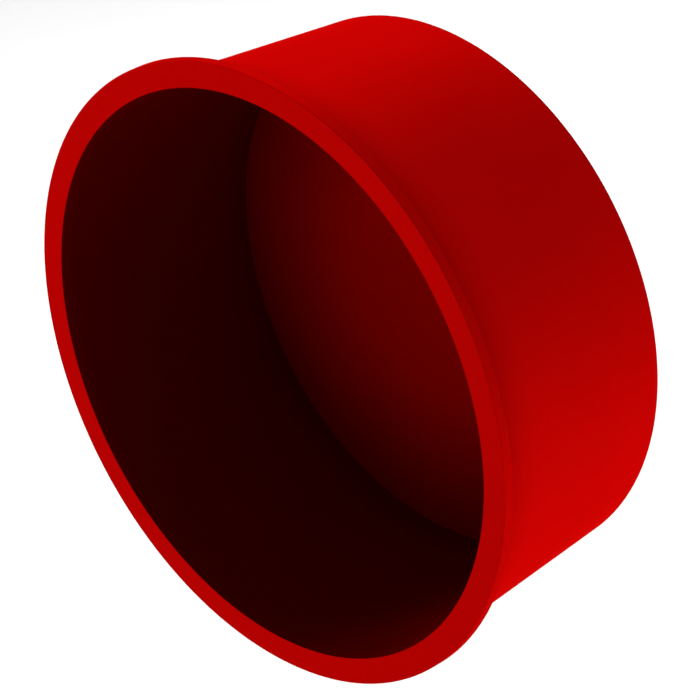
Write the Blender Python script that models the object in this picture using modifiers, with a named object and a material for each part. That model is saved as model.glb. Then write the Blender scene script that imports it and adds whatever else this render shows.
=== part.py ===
"""Lipped, tapered blanking cup for the end of a steel pipe.

Three pieces of 3 mm sheet, a flat lip ring, a rolled taper and an end plate, are held together
by three weld beads: one behind the lip, one round the end plate and one along the shell's seam.

The cup's axis lies along +Y and +Z is up. The origin is the centre of the lip's back face, where
the pipe's end comes to rest, so the mouth faces -Y and the closed end goes into the pipe.
Every turned piece is drawn as a profile of (radius, reach) points, where reach is the distance
along the axis from the lip's back face, towards the closed end.
"""

import bpy
from math import cos, pi, radians, sin, sqrt, tan

# Driving dimensions, in metres.
PIPE_OUTSIDE = 0.1683        # diameter of the pipe, and of the lip that covers its end
PIPE_WALL = 0.0045
FIT_CLEARANCE = 0.00015      # radial room between the pipe's bore and the root of the taper
TAPER = radians(4.4)         # slope of the shell's wall against the axis
SPIGOT_LENGTH = 0.0625       # lip's back face to the rim of the closed end
LIP_THICKNESS = 0.003
SHELL_THICKNESS = 0.003
PLATE_THICKNESS = 0.003
PLATE_SET_BACK = 0.0005      # end plate below the rim of the shell
SEAT_RELIEF = 0.0003         # lip's back face inside its seat band, below the band
MOUTH_FLARE = 0.0005         # how much wider the lip's bore is at the mouth than the shell
LIP_WELD_LEG = 0.002
PLATE_LAND = 0.001           # square part of the end plate's edge, below its weld bevel
END_WELD_ROOT = 0.0003       # width of the end weld at its bottom
SEAM_WIDTH = 0.003           # opening between the shell's two long edges
SEAM_ANGLE = radians(135)    # from +X towards +Z, round the axis
CLEARANCE = 0.0003           # gap between pieces that touch
CROWN = 0.0002               # rise of a weld's rounded face
TURN_STEPS = 96
CROWN_STEPS = 4
BAR_DEPTH = 0.03             # radial depth of the bars that cut the seam
CRISP_ANGLE = radians(30)

# Sizes that follow.
LIP_RADIUS = PIPE_OUTSIDE / 2
ROOT_RADIUS = LIP_RADIUS - PIPE_WALL - FIT_CLEARANCE
SHELL_FRONT = CLEARANCE - SEAT_RELIEF
PLATE_BACK = SPIGOT_LENGTH - PLATE_SET_BACK
PLATE_FRONT = PLATE_BACK - PLATE_THICKNESS

# Base colours, linear RGB.
COAT_RED = (0.60, 0.003, 0.002)
COAT_ON_WELD = (0.56, 0.003, 0.002)


def shell_outside(reach):
    """Outer radius of the tapered shell at a reach."""
    return ROOT_RADIUS - tan(TAPER) * reach


def shell_inside(reach):
    """Inner radius of the tapered shell at a reach, its wall measured square to its slope."""
    return shell_outside(reach) - SHELL_THICKNESS / cos(TAPER)


def lip_weld_corner():
    """Radius of the lip weld's inner corner, one clearance off the shell's root."""
    return shell_outside(SHELL_FRONT) + CLEARANCE / cos(TAPER)


def seat_inside():
    """Inner radius of the band of the lip's back face that the pipe's end can rest on, clear of the weld."""
    return lip_weld_corner() + LIP_WELD_LEG + CLEARANCE


def crowned(start, end, rise):
    """Points of a weld's face from start to end, bowed outwards, to the left of the way it runs."""
    run = (end[0] - start[0], end[1] - start[1])
    length = sqrt(run[0] ** 2 + run[1] ** 2)
    out = (-run[1] / length, run[0] / length)
    points = []
    for step in range(CROWN_STEPS + 1):
        share = step / CROWN_STEPS
        lift = rise * sin(pi * share)
        points.append((start[0] + run[0] * share + out[0] * lift,
                       start[1] + run[1] * share + out[1] * lift))
    return points


def clear_scene():
    for scene_object in list(bpy.data.objects):
        bpy.data.objects.remove(scene_object)


def new_collection(name):
    collection = bpy.data.collections.new(name)
    bpy.context.scene.collection.children.link(collection)
    return collection


def coat(name, colour, roughness):
    """A semi-gloss powder coat."""
    material = bpy.data.materials.new(name)
    material.use_nodes = True
    shader = material.node_tree.nodes["Principled BSDF"]
    shader.inputs["Base Color"].default_value = (*colour, 1.0)
    shader.inputs["Roughness"].default_value = roughness
    shader.inputs["Metallic"].default_value = 0.0
    material.diffuse_color = (*colour, 1.0)
    return material


def cup_axis(collection):
    """An empty whose local +Z is the cup's axis, from the mouth to the closed end."""
    axis = bpy.data.objects.new("cup_axis", None)
    axis.rotation_euler = (-pi / 2, 0.0, 0.0)
    collection.objects.link(axis)
    return axis


def applied(piece):
    """The piece with its modifiers made part of its mesh, smooth on its rounds and crisp on its edges."""
    depsgraph = bpy.context.evaluated_depsgraph_get()
    mesh = bpy.data.meshes.new_from_object(piece.evaluated_get(depsgraph))
    mesh.name = piece.name
    mesh.shade_smooth()
    mesh.set_sharp_from_angle(angle=CRISP_ANGLE)
    piece.modifiers.clear()
    piece.data = mesh
    return piece


def turned(name, profile, closed, material, axis, collection):
    """Turns a profile about the axis. It runs down its outer side first; an open one ends on the axis."""
    count = len(profile)
    edges = [(i, i + 1) for i in range(count - 1)]
    if closed:
        edges.append((count - 1, 0))
    mesh = bpy.data.meshes.new(name)
    mesh.from_pydata([(radius, 0.0, reach) for radius, reach in profile], edges, [])
    mesh.materials.append(material)
    piece = bpy.data.objects.new(name, mesh)
    piece.parent = axis
    collection.objects.link(piece)
    screw = piece.modifiers.new("turn", 'SCREW')
    screw.axis = 'Z'
    screw.angle = 2 * pi
    screw.steps = TURN_STEPS
    screw.render_steps = TURN_STEPS
    screw.use_merge_vertices = True
    screw.merge_threshold = 0.00001
    return applied(piece)


def seam_bar(name, width, axis, collection):
    """A hidden bar of the given width that runs along the seam, through the shell's whole wall."""
    bpy.ops.mesh.primitive_cube_add(size=1.0)
    bar = bpy.context.object
    bar.name = name
    bar.scale = (BAR_DEPTH, width, 2 * SPIGOT_LENGTH)
    bpy.ops.object.transform_apply(location=False, rotation=False, scale=True)
    radius = (shell_outside(0.0) + shell_inside(SPIGOT_LENGTH)) / 2
    bar.parent = axis
    bar.location = (radius * cos(SEAM_ANGLE), -radius * sin(SEAM_ANGLE), SPIGOT_LENGTH / 2)
    bar.rotation_euler = (0.0, 0.0, -SEAM_ANGLE)
    bar.hide_render = True
    bar.display_type = 'WIRE'
    for holder in list(bar.users_collection):
        holder.objects.unlink(bar)
    collection.objects.link(bar)
    return bar


def shaped_by(piece, bar, operation):
    """Cuts the piece with the bar, or keeps only what lies inside it."""
    boolean = piece.modifiers.new("seam", 'BOOLEAN')
    boolean.operation = operation
    boolean.solver = 'EXACT'
    boolean.object = bar
    return piece


def shell_profile():
    """Section of the shell's wall. Its front edge stands one clearance off the lip."""
    return [
        (shell_outside(SPIGOT_LENGTH), SPIGOT_LENGTH),
        (shell_outside(SHELL_FRONT), SHELL_FRONT),
        (shell_inside(SHELL_FRONT), SHELL_FRONT),
        (shell_inside(SPIGOT_LENGTH), SPIGOT_LENGTH),
    ]


def lip_ring(material, axis, collection):
    """Flat ring that covers the pipe's end. Its bore is dressed to run into the shell.

    Its back face has a seat band at the edge, and is relieved inside it, where the shell is welded on.
    """
    profile = [
        (LIP_RADIUS, 0.0),
        (LIP_RADIUS, -LIP_THICKNESS),
        (shell_inside(0.0) + MOUTH_FLARE, -LIP_THICKNESS),
        (shell_inside(-SEAT_RELIEF), -SEAT_RELIEF),
        (seat_inside(), -SEAT_RELIEF),
        (seat_inside(), 0.0),
    ]
    return turned("lip_ring", profile, True, material, axis, collection)


def tapered_shell(material, axis, collection, cutters):
    """Strip rolled into a taper, open along its seam."""
    shell = turned("tapered_shell", shell_profile(), True, material, axis, collection)
    return shaped_by(shell, seam_bar("seam_opening", SEAM_WIDTH, axis, cutters), 'DIFFERENCE')


def end_plate(material, axis, collection):
    """Disc inside the shell's closed end, bevelled at the back for its weld."""
    bevel = PLATE_THICKNESS - PLATE_LAND
    land_top = PLATE_FRONT + PLATE_LAND
    edge = shell_inside(land_top) - CLEARANCE
    profile = [
        (0.0, PLATE_BACK),
        (edge - bevel, PLATE_BACK),
        (edge, land_top),
        (shell_inside(PLATE_FRONT) - CLEARANCE, PLATE_FRONT),
        (0.0, PLATE_FRONT),
    ]
    return turned("end_plate", profile, False, material, axis, collection)


def lip_weld(material, axis, collection):
    """Fillet bead in the corner between the lip's back face and the shell."""
    top = SHELL_FRONT + LIP_WELD_LEG
    corner = lip_weld_corner()
    start = (shell_outside(top) + CLEARANCE / cos(TAPER), top)
    face = crowned(start, (corner + LIP_WELD_LEG, SHELL_FRONT), CROWN)
    return turned("lip_weld", face + [(corner, SHELL_FRONT)], True, material, axis, collection)


def end_weld(material, axis, collection):
    """Bead that fills the groove between the end plate's bevel and the shell."""
    land_top = PLATE_FRONT + PLATE_LAND
    edge = shell_inside(land_top) - CLEARANCE
    bevel_side = sqrt(2) * CLEARANCE
    shell_side = CLEARANCE / cos(TAPER)

    def inner(reach):
        return edge - (reach - land_top) + bevel_side

    def outer(reach):
        return shell_inside(reach) - shell_side

    root = land_top + (END_WELD_ROOT + inner(land_top) - outer(land_top)) / (1 - tan(TAPER))
    top = SPIGOT_LENGTH - CROWN
    face = crowned((inner(PLATE_BACK), PLATE_BACK), (outer(top), top), CROWN)
    profile = face + [(outer(root), root), (inner(root), root)]
    return turned("end_weld", profile, True, material, axis, collection)


def seam_weld(material, axis, collection, cutters):
    """Bead that fills the shell's seam, dressed level with the wall on both sides."""
    seam = turned("seam_weld", shell_profile(), True, material, axis, collection)
    width = SEAM_WIDTH - 2 * CLEARANCE
    return shaped_by(seam, seam_bar("seam_filling", width, axis, cutters), 'INTERSECT')


def main():
    clear_scene()
    parts = new_collection("pipe_blanking_cup")
    cutters = new_collection("cutters")
    axis = cup_axis(parts)
    lip_ring(coat("lip_coat", COAT_RED, 0.42), axis, parts)
    tapered_shell(coat("shell_coat", COAT_RED, 0.45), axis, parts, cutters)
    end_plate(coat("plate_coat", COAT_RED, 0.45), axis, parts)
    lip_weld(coat("lip_weld_coat", COAT_ON_WELD, 0.5), axis, parts)
    end_weld(coat("end_weld_coat", COAT_ON_WELD, 0.5), axis, parts)
    seam_weld(coat("seam_weld_coat", COAT_ON_WELD, 0.5), axis, parts, cutters)


main()
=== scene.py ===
"""Looks of the lipped, tapered blanking cup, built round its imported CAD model.

The cup's axis lies along +Y, its mouth faces -Y and the origin is the centre of the lip's back face.
A section point is (radius, reach), where reach is the distance along +Y from that face.
"""

from math import atan2, ceil, cos, hypot, pi, radians, sin, sqrt

import bpy
from bpy.props import FloatProperty, FloatVectorProperty, IntProperty, PointerProperty
from mathutils import Matrix, Vector


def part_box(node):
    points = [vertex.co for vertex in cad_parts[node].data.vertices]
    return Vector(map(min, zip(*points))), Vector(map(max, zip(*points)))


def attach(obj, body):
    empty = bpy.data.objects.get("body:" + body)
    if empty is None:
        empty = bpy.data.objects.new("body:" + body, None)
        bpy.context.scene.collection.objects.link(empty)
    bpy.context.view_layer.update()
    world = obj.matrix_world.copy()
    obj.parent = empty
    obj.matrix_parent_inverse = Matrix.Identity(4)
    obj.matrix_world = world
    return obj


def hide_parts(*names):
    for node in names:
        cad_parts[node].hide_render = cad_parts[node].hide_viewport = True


bl_info = {
    "name": "Pipe blanking cup",
    "version": (1, 0, 0),
    "blender": (4, 5, 0),
    "location": "3D View > Sidebar > Blanking cup",
    "description": "Builds the coated sheets, weld beads and studio of a pipe blanking cup",
    "category": "Object",
}

# A vertex this close to a node's flat end lies in it.
SAME_REACH = 0.00001

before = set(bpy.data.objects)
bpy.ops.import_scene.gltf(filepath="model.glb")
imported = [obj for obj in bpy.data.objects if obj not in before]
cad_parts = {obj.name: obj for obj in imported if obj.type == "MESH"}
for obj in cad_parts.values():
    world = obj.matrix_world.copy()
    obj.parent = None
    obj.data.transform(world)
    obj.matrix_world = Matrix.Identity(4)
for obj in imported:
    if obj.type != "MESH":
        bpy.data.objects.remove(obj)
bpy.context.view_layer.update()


def cad_radius(node, reach, pick):
    """Smallest or largest radius of a CAD node at one of its flat ends."""
    near = [v.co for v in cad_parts[node].data.vertices if abs(v.co.y - reach) < SAME_REACH]
    return pick(hypot(p.x, p.z) for p in near)


# Sizes read from the frame.
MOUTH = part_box("lip_ring")[0].y
LIP_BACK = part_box("lip_ring")[1].y
LIP_RADIUS = cad_radius("lip_ring", MOUTH, max)
MOUTH_RADIUS = cad_radius("lip_ring", MOUTH, min)
SHELL_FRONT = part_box("tapered_shell")[0].y
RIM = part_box("tapered_shell")[1].y
ROOT_RADIUS = cad_radius("tapered_shell", SHELL_FRONT, max)
RIM_RADIUS = cad_radius("tapered_shell", RIM, max)
SHELL_INSIDE_FRONT = cad_radius("tapered_shell", SHELL_FRONT, min)
SHELL_INSIDE_RIM = cad_radius("tapered_shell", RIM, min)
PLATE_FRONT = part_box("end_plate")[0].y
PLATE_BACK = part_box("end_plate")[1].y
WELD_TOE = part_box("lip_weld")[1].x
WELD_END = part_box("lip_weld")[1].y
SEAM_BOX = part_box("seam_weld")
SEAM_ANGLE = atan2(SEAM_BOX[0].z + SEAM_BOX[1].z, SEAM_BOX[0].x + SEAM_BOX[1].x)
SLOPE = (ROOT_RADIUS - RIM_RADIUS) / (RIM - SHELL_FRONT)

# Meshes. A face looks a way where more than the FACING part of its normal points there.
SMOOTH_ANGLE = radians(35)
EDGE_SEGMENTS = 3
MERGE_DISTANCE = 0.000005
FLAT_FACE_WEIGHT = 100
FACING = 0.5

# How far a piece runs into its neighbour, to close the gap that the CAD nodes leave there.
SHELL_BITE = 0.0004
PLATE_BITE = 0.0002
BEAD_BITE = 0.0003

# End plate. Its first and last rings have the pole radius and are then merged to a point.
POLE_RADIUS = 0.001
MIDDLE_RADIUS = 0.03
PLATE_BEVEL_WIDTH = 0.0008
PLATE_BEVEL_DEPTH = 0.001

# Beads round the cup.
BEAD_STEPS = 8
LIP_WELD_CROWN = 0.0002
END_WELD_CROWN = 0.00015
END_WELD_WIDTH = 0.0024
END_WELD_ROOT = 0.0006
END_WELD_BITE = 0.0001
RIM_LAND = 0.0002

# Ripples of every bead: faces to a ripple, and how far it falls behind at its edges, in radians.
RIPPLE_FACES = 6
RIPPLE_LAG = 1.8

# Bead along the shell: a slab, sunk in the shell, that is crowned and runs out at its ends.
SEAM_COLUMNS = 12
SEAM_BASE = 0.0003
SEAM_SINK = 0.00034
SEAM_INSET = 0.0003
SEAM_RUN_OUT = 0.0015

# Powder coat. Scales are in noise cells per metre, and shares are parts of one.
CLOUD_SCALE = 38.0
CLOUD_LOW = 0.3
CLOUD_HIGH = 0.7
GRAIN_SCALE = 420.0
SKIN_SCALE = 760.0
SKIN_HEIGHT = 0.00004
GLOSS_SPREAD = 0.06
SHEEN_SHARE = 0.10
SHEEN_TINT = (1.0, 0.05, 0.04, 1.0)
WORN_SHARE = 0.55
# Painted shade: the share of the coat colour that corners are darkened to.
PAINTED_SHADE_SHARE = 0.1
SHADE_RAYS = 8
# Painted shade: the share of the coat colour on the lip's outer edge, darkened to stand for shade there.
LIP_EDGE_PAINTED_SHADE = 0.9

# Edges of the coat: an edge is worn most where only the EDGE_OPEN part of the view inside the piece is free
# within EDGE_REACH, and EDGE_WEAR is how much of the worn colour it then has.
EDGE_REACH = 0.0003
EDGE_OPEN = 0.6
EDGE_WEAR = 0.25

# Finishes of the coat: mean roughness, strength of the orange peel and spread of the cloudy colour.
SHEET_FINISH = {"roughness": 0.46, "peel": 0.5, "mottle": 0.02}
WALL_FINISH = {"roughness": 0.55, "peel": 0.5, "mottle": 0.04}
FLOOR_FINISH = {"roughness": 0.55, "peel": 0.5, "mottle": 0.03}
BEAD_FINISH = {"roughness": 0.5, "peel": 0.45, "mottle": 0.04}

# Painted shade in the coat's corners: a corner reaches its full painted shade where only the open part of
# the view is free within reach.
WIDE_PAINTED_SHADE = {"reach": 0.014, "open_part": 0.6, "shade": 0.85}
SLIGHT_PAINTED_SHADE = {"reach": 0.012, "open_part": 0.35, "shade": 0.35}
DEEP_PAINTED_SHADE = {"reach": 0.045, "open_part": 0.35, "shade": 0.82}

# Sockets of a Mix node that mixes colours, by number, as several of them share a name.
MIX_FACTOR = 0
MIX_FIRST = 6
MIX_SECOND = 7
MIX_RESULT = 2

# Studio. The sensor's width is in millimetres, as the lens's length is.
FLOOR_RADIUS = 6
FLOOR_SIDES = 96
PAPER_ROUGHNESS = 0.9
PAPER_SHINE = 0.1
SENSOR_WIDTH = 36
NEAREST_SEEN = 0.05
FURTHEST_SEEN = 20


def shell_outside(reach):
    return ROOT_RADIUS - SLOPE * (reach - SHELL_FRONT)


def shell_inside(reach):
    share = (reach - SHELL_FRONT) / (RIM - SHELL_FRONT)
    return SHELL_INSIDE_FRONT + (SHELL_INSIDE_RIM - SHELL_INSIDE_FRONT) * share


class CupSizes(bpy.types.PropertyGroup):
    edge_radius: FloatProperty(
        name="Edge radius", description="Radius left on the sheets' edges by the coat",
        default=0.0002, min=0.00005, max=0.001, unit='LENGTH', precision=5)
    turn_steps: IntProperty(
        name="Turn steps", description="Faces round each sheet", default=288, min=96, max=720)
    ripple_pitch: FloatProperty(
        name="Ripple pitch", description="Distance between the ripples of a weld bead",
        default=0.0016, min=0.0008, max=0.004, unit='LENGTH', precision=5)
    ripple_height: FloatProperty(
        name="Ripple height", description="Height of the ripples of a weld bead",
        default=0.00011, min=0.0, max=0.0004, unit='LENGTH', precision=5)
    seam_width: FloatProperty(
        name="Seam bead width", description="Width of the bead along the shell",
        default=0.0042, min=0.002, max=0.008, unit='LENGTH', precision=5)
    seam_crown: FloatProperty(
        name="Seam bead crown", description="Height of the bead along the shell",
        default=0.0003, min=0.0001, max=0.001, unit='LENGTH', precision=5)
    floor_drop: FloatProperty(
        name="Floor drop", description="Height of the cup's axis above the studio floor",
        default=0.6, min=0.2, max=2.0, unit='LENGTH')
    camera_distance: FloatProperty(
        name="Camera distance", description="Distance from the camera to the point it looks at",
        default=0.9393, min=0.3, max=5.0, unit='LENGTH')
    camera_azimuth: FloatProperty(
        name="Camera azimuth", description="Angle of the camera round the cup, from in front of its mouth",
        default=radians(45.43), unit='ROTATION')
    camera_elevation: FloatProperty(
        name="Camera elevation", description="Angle of the camera above the horizon",
        default=radians(31.05), unit='ROTATION')
    camera_aim: FloatVectorProperty(
        name="Camera aim", description="Point that the camera looks at",
        default=(0.01286, 0.01537, 0.00618), size=3, unit='LENGTH', precision=5)
    camera_lens: FloatProperty(
        name="Camera lens", description="Focal length in millimetres", default=191.9, min=20, max=400)


class CupColours(bpy.types.PropertyGroup):
    coat: FloatVectorProperty(
        name="Coat", description="Powder coat on the outside and the lip",
        default=(0.62, 0.0010, 0.0006), size=3, subtype='COLOR', min=0, max=1)
    weld_coat: FloatVectorProperty(
        name="Coat on welds", description="Powder coat over the weld beads",
        default=(0.55, 0.0010, 0.0006), size=3, subtype='COLOR', min=0, max=1)
    # Painted shade: the inner wall's coat is darkened to stand for the shade inside the cup.
    bore_coat_painted_shade: FloatVectorProperty(
        name="Coat on the inner wall", description="Coat on the wall inside the cup, darkened as painted shade",
        default=(0.12, 0.0003, 0.0002), size=3, subtype='COLOR', min=0, max=1)
    # Painted shade: the inner floor's coat is darkened to stand for the shade inside the cup.
    floor_coat_painted_shade: FloatVectorProperty(
        name="Coat on the inner floor", description="Coat on the floor inside the cup, darkened as painted shade",
        default=(0.43, 0.0006, 0.0004), size=3, subtype='COLOR', min=0, max=1)
    studio_floor: FloatVectorProperty(
        name="Studio floor", description="Plain pale floor",
        default=(0.93, 0.93, 0.93), size=3, subtype='COLOR', min=0, max=1)
    surroundings: FloatVectorProperty(
        name="Surroundings", description="Light that comes from all round",
        default=(0.285, 0.285, 0.285), size=3, subtype='COLOR', min=0, max=1)


def deselect():
    """Leaves edit mode and selects nothing."""
    if bpy.context.object is not None and bpy.context.object.mode != 'OBJECT':
        bpy.ops.object.mode_set(mode='OBJECT')
    bpy.ops.object.select_all(action='DESELECT')


def node(tree, kind, **inputs):
    """Adds a shader node and sets its sockets, whose names are given with _ for a space."""
    made = tree.nodes.new(kind)
    for name, value in inputs.items():
        made.inputs[name.replace("_", " ")].default_value = value
    return made


def shaded(colour, share):
    """The colour as a shader takes it, darker or lighter by a share."""
    return (*[min(1.0, c * share) for c in colour], 1.0)


def powder_coat(name, colour, painted_shade, roughness, peel, mottle):
    """Powder coat: orange peel as bump, gloss that varies, cloudy thickness, thin edges, painted shade in
    corners.
    """
    material = bpy.data.materials.new(name)
    material.use_nodes = True
    material.diffuse_color = (*colour, 1.0)
    tree = material.node_tree
    shader = tree.nodes["Principled BSDF"]
    shader.inputs["Metallic"].default_value = SHEEN_SHARE
    shader.inputs["Specular IOR Level"].default_value = 0.0
    shader.inputs["Specular Tint"].default_value = SHEEN_TINT
    place = tree.nodes.new("ShaderNodeTexCoord")

    cloud = node(tree, "ShaderNodeTexNoise", Scale=CLOUD_SCALE, Detail=3.0, Roughness=0.55)
    tree.links.new(place.outputs["Object"], cloud.inputs["Vector"])
    tint = tree.nodes.new("ShaderNodeValToRGB")
    tint.color_ramp.elements[0].position = CLOUD_LOW
    tint.color_ramp.elements[0].color = shaded(colour, 1 - mottle)
    tint.color_ramp.elements[1].position = CLOUD_HIGH
    tint.color_ramp.elements[1].color = shaded(colour, 1 + mottle)
    tree.links.new(cloud.outputs["Fac"], tint.inputs["Fac"])

    edge = node(tree, "ShaderNodeAmbientOcclusion", Distance=EDGE_REACH)
    edge.inside = True
    edge.only_local = True
    edge.samples = SHADE_RAYS
    edge_wear_and_painted_shade = tree.nodes.new("ShaderNodeMapRange")
    edge_wear_and_painted_shade.inputs["From Min"].default_value = 1.0
    edge_wear_and_painted_shade.inputs["From Max"].default_value = EDGE_OPEN
    edge_wear_and_painted_shade.inputs["To Min"].default_value = 0.0
    edge_wear_and_painted_shade.inputs["To Max"].default_value = EDGE_WEAR
    tree.links.new(edge.outputs["AO"], edge_wear_and_painted_shade.inputs["Value"])
    worn = tree.nodes.new("ShaderNodeMix")
    worn.data_type = 'RGBA'
    worn.inputs[MIX_SECOND].default_value = shaded(colour, WORN_SHARE)
    tree.links.new(edge_wear_and_painted_shade.outputs["Result"], worn.inputs[MIX_FACTOR])
    tree.links.new(tint.outputs["Color"], worn.inputs[MIX_FIRST])

    # Painted shade in corners: where ambient occlusion finds nearby faces, the colour is darkened towards a
    # darker copy of the coat colour.
    shade_occlusion = node(tree, "ShaderNodeAmbientOcclusion", Distance=painted_shade["reach"])
    shade_occlusion.samples = SHADE_RAYS
    painted_shade_amount = tree.nodes.new("ShaderNodeMapRange")
    painted_shade_amount.inputs["From Min"].default_value = painted_shade["open_part"]
    painted_shade_amount.inputs["From Max"].default_value = 1.0
    painted_shade_amount.inputs["To Min"].default_value = painted_shade["shade"]
    painted_shade_amount.inputs["To Max"].default_value = 0.0
    tree.links.new(shade_occlusion.outputs["AO"], painted_shade_amount.inputs["Value"])
    painted_shade_mix = tree.nodes.new("ShaderNodeMix")
    painted_shade_mix.data_type = 'RGBA'
    painted_shade_mix.inputs[MIX_SECOND].default_value = shaded(colour, PAINTED_SHADE_SHARE)
    tree.links.new(painted_shade_amount.outputs["Result"], painted_shade_mix.inputs[MIX_FACTOR])
    tree.links.new(worn.outputs[MIX_RESULT], painted_shade_mix.inputs[MIX_FIRST])
    tree.links.new(painted_shade_mix.outputs[MIX_RESULT], shader.inputs["Base Color"])

    grain = node(tree, "ShaderNodeTexNoise", Scale=GRAIN_SCALE, Detail=2.0, Roughness=0.5)
    tree.links.new(place.outputs["Object"], grain.inputs["Vector"])
    gloss = tree.nodes.new("ShaderNodeMapRange")
    gloss.inputs["To Min"].default_value = roughness - GLOSS_SPREAD
    gloss.inputs["To Max"].default_value = roughness + GLOSS_SPREAD
    tree.links.new(grain.outputs["Fac"], gloss.inputs["Value"])
    tree.links.new(gloss.outputs["Result"], shader.inputs["Roughness"])

    skin = node(tree, "ShaderNodeTexNoise", Scale=SKIN_SCALE, Detail=1.5, Roughness=0.45)
    tree.links.new(place.outputs["Object"], skin.inputs["Vector"])
    bump = node(tree, "ShaderNodeBump", Strength=peel, Distance=SKIN_HEIGHT)
    tree.links.new(skin.outputs["Fac"], bump.inputs["Height"])
    tree.links.new(bump.outputs["Normal"], shader.inputs["Normal"])
    return material


def turned(name, section, steps):
    """Draws a ring through the section's points by extruding and scaling a circle, left in edit mode."""
    deselect()
    radius, reach = section[0]
    bpy.ops.mesh.primitive_circle_add(
        vertices=steps, radius=radius, fill_type='NOTHING', location=(0, reach, 0), rotation=(pi / 2, 0, 0))
    piece = bpy.context.object
    piece.name = name
    piece.data.name = name
    bpy.ops.object.mode_set(mode='EDIT')
    bpy.ops.mesh.select_mode(type='VERT')
    bpy.ops.mesh.select_all(action='SELECT')
    for next_radius, next_reach in section[1:]:
        bpy.ops.mesh.extrude_region_move(TRANSFORM_OT_translate={"value": (0, next_reach - reach, 0)})
        share = next_radius / radius
        bpy.ops.transform.resize(value=(share, 1, share), center_override=(0, next_reach, 0))
        radius, reach = next_radius, next_reach
    return piece


def closed_ring(name, section, steps):
    """Turns a section back to its first point, where the two ends are merged."""
    piece = turned(name, section + section[:1], steps)
    bpy.ops.mesh.select_all(action='SELECT')
    bpy.ops.mesh.remove_doubles(threshold=MERGE_DISTANCE)
    bpy.ops.mesh.normals_make_consistent(inside=False)
    return piece


def soften_edges(piece, width):
    """Rounds the crisp edges of the piece being edited."""
    bpy.ops.mesh.select_mode(type='EDGE')
    bpy.ops.mesh.select_all(action='DESELECT')
    bpy.ops.mesh.edges_select_sharp(sharpness=SMOOTH_ANGLE)
    bpy.ops.mesh.bevel(
        offset=width, offset_type='OFFSET', segments=EDGE_SEGMENTS, profile=0.5, affect='EDGES')


def settle(piece, material, cad_node):
    """Ends the modelling: places the mesh, shades it, gives it its coat and puts it on the frame."""
    deselect()
    piece.select_set(True)
    bpy.context.view_layer.objects.active = piece
    bpy.ops.object.transform_apply(location=True, rotation=True, scale=True)
    bpy.ops.object.shade_smooth_by_angle(angle=SMOOTH_ANGLE)
    weighted = piece.modifiers.new("flat faces stay flat", 'WEIGHTED_NORMAL')
    weighted.keep_sharp = True
    weighted.weight = FLAT_FACE_WEIGHT
    bpy.ops.object.modifier_apply(modifier=weighted.name)
    piece.data.materials.clear()
    piece.data.materials.append(material)
    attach(piece, "root")
    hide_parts(cad_node)


def coat_faces(piece, material, chosen):
    """Gives the faces that the test names another coat."""
    piece.data.materials.append(material)
    for face in piece.data.polygons:
        if chosen(face):
            face.material_index = len(piece.data.materials) - 1


def outwardness(face):
    outward = Vector((face.center.x, 0, face.center.z)).normalized()
    return face.normal.dot(outward)


def faces_axis(face):
    return outwardness(face) < -FACING


def faces_out(face):
    return outwardness(face) > FACING


def across_bead(inner, outer):
    """Makes a function that gives a point's place across a ring bead, from -1 to 1, and its lift there."""
    def across(point):
        share = (hypot(point.x, point.z) - inner) / (outer - inner) * 2 - 1
        return share, max(0.0, 1 - share * share)
    return across


def ripple(piece, count, across_at, height):
    """Lays a bead's crescent ripples: every vertex moves out by a wave that lags across the bead."""
    normals = [vertex.normal.copy() for vertex in piece.data.vertices]
    for vertex, normal in zip(piece.data.vertices, normals):
        angle = atan2(vertex.co.z, vertex.co.x)
        across, lift = across_at(vertex.co)
        wave = 0.5 + 0.5 * cos(count * angle - RIPPLE_LAG * across * across)
        vertex.co += normal * (height * wave * lift)


def bead_section(start, end, rise, root):
    """Crowned section of a bead from start to end, closed through its root."""
    run = (end[0] - start[0], end[1] - start[1])
    length = hypot(*run)
    out = (-run[1] / length, run[0] / length)
    face = []
    for step in range(BEAD_STEPS + 1):
        share = step / BEAD_STEPS
        lift = rise * sin(pi * share)
        face.append((start[0] + run[0] * share + out[0] * lift, start[1] + run[1] * share + out[1] * lift))
    return face + [root]


class CUP_OT_lip_ring(bpy.types.Operator):
    """Flat ring that covers the pipe's end"""
    bl_idname = "cup.lip_ring"
    bl_label = "Lip ring"

    def execute(self, context):
        sizes, colours = context.scene.cup_sizes, context.scene.cup_colours
        section = [
            (LIP_RADIUS, LIP_BACK),
            (LIP_RADIUS, MOUTH),
            (MOUTH_RADIUS, MOUTH),
            (SHELL_INSIDE_FRONT, LIP_BACK),
        ]
        piece = closed_ring("coated_lip_ring", section, sizes.turn_steps)
        soften_edges(piece, sizes.edge_radius)
        coat = powder_coat("lip coat", colours.coat, SLIGHT_PAINTED_SHADE, **SHEET_FINISH)
        settle(piece, coat, "lip_ring")
        # Faces towards the axis get the inner wall's coat, darkened as painted shade.
        bore = powder_coat("lip bore painted shade coat", colours.bore_coat_painted_shade, SLIGHT_PAINTED_SHADE, **WALL_FINISH)
        coat_faces(piece, bore, faces_axis)
        # The lip's outer edge gets a darker copy of the coat, as painted shade.
        edge_painted_shade_colour = [c * LIP_EDGE_PAINTED_SHADE for c in colours.coat]
        edge_wear_and_painted_shade = powder_coat("lip edge painted shade coat", edge_painted_shade_colour, SLIGHT_PAINTED_SHADE, **SHEET_FINISH)
        coat_faces(piece, edge_wear_and_painted_shade, faces_out)
        return {'FINISHED'}


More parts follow.
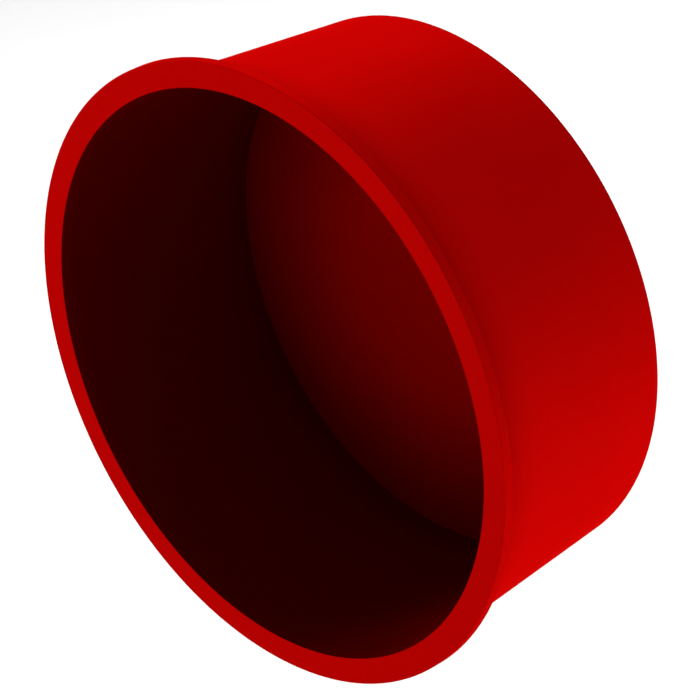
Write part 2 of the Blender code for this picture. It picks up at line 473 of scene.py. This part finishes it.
class CUP_OT_tapered_shell(bpy.types.Operator):
    """Rolled, tapered wall of the cup"""
    bl_idname = "cup.tapered_shell"
    bl_label = "Tapered shell"

    def execute(self, context):
        sizes, colours = context.scene.cup_sizes, context.scene.cup_colours
        front = LIP_BACK - SHELL_BITE
        section = [
            (shell_outside(RIM), RIM),
            (shell_outside(front), front),
            (shell_inside(front), front),
            (shell_inside(RIM), RIM),
        ]
        piece = closed_ring("coated_tapered_shell", section, sizes.turn_steps)
        soften_edges(piece, sizes.edge_radius)
        coat = powder_coat("shell coat", colours.coat, WIDE_PAINTED_SHADE, **SHEET_FINISH)
        settle(piece, coat, "tapered_shell")
        # Faces towards the axis get the inner wall's coat, darkened as painted shade.
        bore = powder_coat("bore painted shade coat", colours.bore_coat_painted_shade, SLIGHT_PAINTED_SHADE, **WALL_FINISH)
        coat_faces(piece, bore, faces_axis)
        return {'FINISHED'}


class CUP_OT_end_plate(bpy.types.Operator):
    """Disc that closes the cup"""
    bl_idname = "cup.end_plate"
    bl_label = "End plate"

    def execute(self, context):
        sizes, colours = context.scene.cup_sizes, context.scene.cup_colours
        edge = shell_inside(PLATE_FRONT) + PLATE_BITE
        back_edge = shell_inside(PLATE_BACK) - PLATE_BEVEL_WIDTH
        section = [
            (POLE_RADIUS, PLATE_BACK),
            (MIDDLE_RADIUS, PLATE_BACK),
            (back_edge, PLATE_BACK),
            (edge, PLATE_BACK - PLATE_BEVEL_DEPTH),
            (edge, PLATE_FRONT),
            (MIDDLE_RADIUS, PLATE_FRONT),
            (POLE_RADIUS, PLATE_FRONT),
        ]
        piece = turned("coated_end_plate", section, sizes.turn_steps)
        bpy.ops.mesh.merge(type='CENTER')
        bpy.ops.mesh.select_all(action='DESELECT')
        bpy.ops.mesh.select_non_manifold()
        bpy.ops.mesh.merge(type='CENTER')
        bpy.ops.mesh.select_all(action='SELECT')
        bpy.ops.mesh.normals_make_consistent(inside=False)
        coat = powder_coat("plate coat", colours.coat, WIDE_PAINTED_SHADE, **SHEET_FINISH)
        settle(piece, coat, "end_plate")
        # The floor inside the cup gets a darker coat as painted shade, with deep painted shade in its
        # corners.
        inner = powder_coat("inner floor painted shade coat", colours.floor_coat_painted_shade, DEEP_PAINTED_SHADE, **FLOOR_FINISH)
        coat_faces(piece, inner, lambda face: face.normal.y < -FACING)
        return {'FINISHED'}


class CUP_OT_ring_welds(bpy.types.Operator):
    """Beads behind the lip and round the end plate"""
    bl_idname = "cup.ring_welds"
    bl_label = "Ring welds"

    def execute(self, context):
        sizes, colours = context.scene.cup_sizes, context.scene.cup_colours
        coat = powder_coat("weld coat", colours.weld_coat, SLIGHT_PAINTED_SHADE, **BEAD_FINISH)
        start = (shell_outside(WELD_END), WELD_END)
        end = (WELD_TOE, LIP_BACK)
        root = (shell_outside(LIP_BACK) - BEAD_BITE, LIP_BACK - BEAD_BITE)
        section = bead_section(start, end, LIP_WELD_CROWN, root)
        count = round(2 * pi * ROOT_RADIUS / sizes.ripple_pitch)
        piece = closed_ring("coated_lip_weld", section, count * RIPPLE_FACES)
        settle(piece, coat, "lip_weld")
        ripple(piece, count, across_bead(ROOT_RADIUS, WELD_TOE), sizes.ripple_height)

        outer = shell_inside(RIM) + END_WELD_BITE
        inner = shell_inside(PLATE_BACK) - END_WELD_WIDTH
        root = (outer, PLATE_BACK - END_WELD_ROOT)
        section = bead_section((inner, PLATE_BACK), (outer, RIM - RIM_LAND), END_WELD_CROWN, root)
        count = round(2 * pi * SHELL_INSIDE_RIM / sizes.ripple_pitch)
        piece = closed_ring("coated_end_weld", section, count * RIPPLE_FACES)
        settle(piece, coat, "end_weld")
        ripple(piece, count, across_bead(inner, outer), sizes.ripple_height)
        return {'FINISHED'}


class CUP_OT_seam_weld(bpy.types.Operator):
    """Bead along the shell's seam"""
    bl_idname = "cup.seam_weld"
    bl_label = "Seam weld"

    def execute(self, context):
        sizes, colours = context.scene.cup_sizes, context.scene.cup_colours
        length = RIM - WELD_END - 2 * SEAM_INSET
        rows = ceil(length / sizes.ripple_pitch * RIPPLE_FACES)
        deselect()
        bpy.ops.mesh.primitive_grid_add(x_subdivisions=SEAM_COLUMNS, y_subdivisions=rows, size=1.0)
        piece = context.object
        piece.name = piece.data.name = "coated_seam_weld"
        bpy.ops.object.mode_set(mode='EDIT')
        bpy.ops.transform.resize(value=(sizes.seam_width, length, 1))
        bpy.ops.mesh.extrude_region_move(TRANSFORM_OT_translate={"value": (0, 0, SEAM_BASE)})
        bpy.ops.mesh.select_all(action='SELECT')
        bpy.ops.mesh.normals_make_consistent(inside=False)
        bpy.ops.object.mode_set(mode='OBJECT')
        for vertex in piece.data.vertices:
            if vertex.co.z > SEAM_BASE / 2:
                across = vertex.co.x / sizes.seam_width * 2
                ends = min(1.0, (length / 2 - abs(vertex.co.y)) / SEAM_RUN_OUT)
                along = 2 * pi * vertex.co.y / sizes.ripple_pitch
                wave = 0.5 + 0.5 * cos(along - RIPPLE_LAG * across * across)
                crown = sizes.seam_crown - sizes.ripple_height * (1 - wave)
                vertex.co.z += crown * max(0.0, 1 - across * across) * ends
        middle = WELD_END + SEAM_INSET + length / 2
        radius = shell_outside(middle) - SEAM_SINK
        slant = Vector((-SLOPE * cos(SEAM_ANGLE), 1, -SLOPE * sin(SEAM_ANGLE))).normalized()
        out = Vector((cos(SEAM_ANGLE), SLOPE, sin(SEAM_ANGLE))).normalized()
        side = slant.cross(out)
        place = Matrix((side, slant, out)).transposed().to_4x4()
        place.translation = (radius * cos(SEAM_ANGLE), middle, radius * sin(SEAM_ANGLE))
        piece.matrix_world = place
        coat = powder_coat("seam coat", colours.weld_coat, SLIGHT_PAINTED_SHADE, **BEAD_FINISH)
        settle(piece, coat, "seam_weld")
        return {'FINISHED'}


def softbox(name, angle, along, distance, width, power):
    """A square light that faces the cup, at an angle in degrees round its axis, from +X towards +Z.

    along is how far it lies to the back, as the part of its direction that runs along the axis.
    """
    aside = sqrt(1 - along * along)
    towards = Vector((cos(radians(angle)) * aside, along, sin(radians(angle)) * aside))
    lamp = bpy.data.lights.new(name, 'AREA')
    lamp.shape = 'SQUARE'
    lamp.size = width
    lamp.energy = power
    light = bpy.data.objects.new(name, lamp)
    light.location = Vector((0, RIM / 2, 0)) + towards * distance
    light.rotation_euler = towards.to_track_quat('Z', 'Y').to_euler()
    bpy.context.scene.collection.objects.link(light)


def floor_lamps(count, ring, height, width, power):
    """Lamps in a ring that face straight down and light only the floor."""
    for i in range(count):
        angle = 2 * pi * i / count
        lamp = bpy.data.lights.new("floor_lamp", 'AREA')
        lamp.shape = 'SQUARE'
        lamp.size = width
        lamp.energy = power
        light = bpy.data.objects.new("floor_lamp", lamp)
        light.location = (ring * cos(angle), ring * sin(angle), height)
        bpy.context.scene.collection.objects.link(light)


class CUP_OT_stage(bpy.types.Operator):
    """Pale floor, soft lights and the camera"""
    bl_idname = "cup.stage"
    bl_label = "Studio"

    def execute(self, context):
        sizes, colours = context.scene.cup_sizes, context.scene.cup_colours
        deselect()
        bpy.ops.mesh.primitive_circle_add(
            vertices=FLOOR_SIDES, radius=FLOOR_RADIUS, fill_type='NGON', location=(0, 0, -sizes.floor_drop))
        floor = context.object
        floor.name = "studio_floor"
        bpy.ops.object.transform_apply(location=True, rotation=True, scale=True)
        paper = bpy.data.materials.new("studio paper")
        paper.use_nodes = True
        tree = paper.node_tree
        shader = tree.nodes["Principled BSDF"]
        shader.inputs["Base Color"].default_value = (*colours.studio_floor, 1.0)
        shader.inputs["Roughness"].default_value = PAPER_ROUGHNESS
        shader.inputs["Specular IOR Level"].default_value = PAPER_SHINE
        floor.data.materials.append(paper)

        softbox("high_left_softbox", angle=132, along=0.33, distance=1.7, width=1.0, power=21.4)
        softbox("front_left_softbox", angle=190, along=-0.42, distance=2.4, width=0.8, power=32.0)
        softbox("low_right_softbox", angle=-25, along=0.1, distance=1.3, width=0.4, power=9.4)
        floor_lamps(count=6, ring=1.25, height=-0.12, width=0.7, power=2.35)

        world = context.scene.world or bpy.data.worlds.new("studio")
        context.scene.world = world
        world.use_nodes = True
        world.node_tree.nodes["Background"].inputs["Color"].default_value = (*colours.surroundings, 1.0)
        world.node_tree.nodes["Background"].inputs["Strength"].default_value = 1.0
        context.scene.view_settings.view_transform = 'Standard'

        azimuth, elevation = sizes.camera_azimuth, sizes.camera_elevation
        back = Vector((sin(azimuth) * cos(elevation), -cos(azimuth) * cos(elevation), sin(elevation)))
        lens = bpy.data.cameras.new("camera")
        lens.lens = sizes.camera_lens
        lens.sensor_width = SENSOR_WIDTH
        lens.clip_start = NEAREST_SEEN
        lens.clip_end = FURTHEST_SEEN
        camera = bpy.data.objects.new("camera", lens)
        camera.location = Vector(sizes.camera_aim) + back * sizes.camera_distance
        camera.rotation_euler = back.to_track_quat('Z', 'Y').to_euler()
        context.scene.collection.objects.link(camera)
        context.scene.camera = camera
        return {'FINISHED'}


STEPS = (
    CUP_OT_lip_ring, CUP_OT_tapered_shell, CUP_OT_end_plate,
    CUP_OT_ring_welds, CUP_OT_seam_weld, CUP_OT_stage,
)


class CUP_PT_panel(bpy.types.Panel):
    """Lists the steps that build the cup"""
    bl_idname = "CUP_PT_panel"
    bl_label = "Blanking cup"
    bl_space_type = 'VIEW_3D'
    bl_region_type = 'UI'
    bl_category = "Blanking cup"

    def draw(self, context):
        for step in STEPS:
            self.layout.operator(step.bl_idname)
        for group in (context.scene.cup_sizes, context.scene.cup_colours):
            box = self.layout.box()
            for name in group.__annotations__:
                box.prop(group, name)


CLASSES = (CupSizes, CupColours, *STEPS, CUP_PT_panel)


def register():
    for cls in CLASSES:
        bpy.utils.register_class(cls)
    bpy.types.Scene.cup_sizes = PointerProperty(type=CupSizes)
    bpy.types.Scene.cup_colours = PointerProperty(type=CupColours)


def unregister():
    del bpy.types.Scene.cup_colours
    del bpy.types.Scene.cup_sizes
    for cls in reversed(CLASSES):
        bpy.utils.unregister_class(cls)


def main():
    register()
    bpy.ops.cup.lip_ring()
    bpy.ops.cup.tapered_shell()
    bpy.ops.cup.end_plate()
    bpy.ops.cup.ring_welds()
    bpy.ops.cup.seam_weld()
    bpy.ops.cup.stage()


if __name__ == "__main__":
    main()
